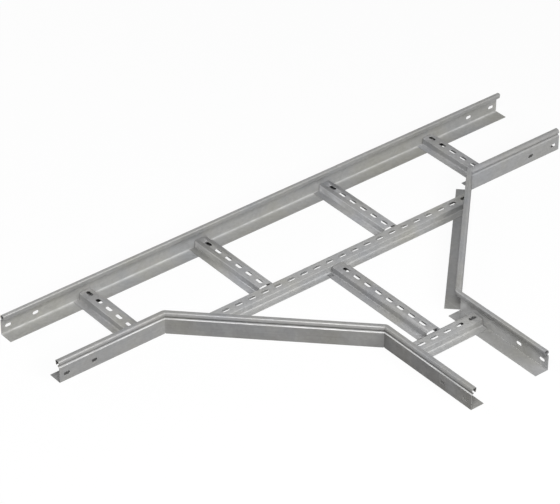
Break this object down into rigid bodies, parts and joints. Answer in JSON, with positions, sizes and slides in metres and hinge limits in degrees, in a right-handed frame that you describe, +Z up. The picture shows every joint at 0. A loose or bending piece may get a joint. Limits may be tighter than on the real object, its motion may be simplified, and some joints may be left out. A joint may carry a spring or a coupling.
{
  "type": "cable ladder tee",
  "caption": "Cable ladder tee of folded galvanised steel, with hooked side rails, bevelled corners and slotted rungs between them.",
  "frame": {"origin": "middle of the footprint, on the floor under the rail flanges", "axes": "+X along the run, -Y toward the open end of the branch, +Z up out of the ladder"},
  "size_m": [1.97, 1.135, 0.075],
  "materials": {
    "galvanised_steel": "hot-dip galvanised, satin with faint mottling"
  },
  "bodies": {
    "root": {"back_rail": "galvanised_steel", "left_corner_rail": "galvanised_steel", "right_corner_rail": "galvanised_steel", "left_end_rung": "galvanised_steel", "left_inner_rung": "galvanised_steel", "right_inner_rung": "galvanised_steel", "right_end_rung": "galvanised_steel", "long_rung": "galvanised_steel", "centre_rung": "galvanised_steel", "branch_rung": "galvanised_steel"}
  },
  "joints": []
}
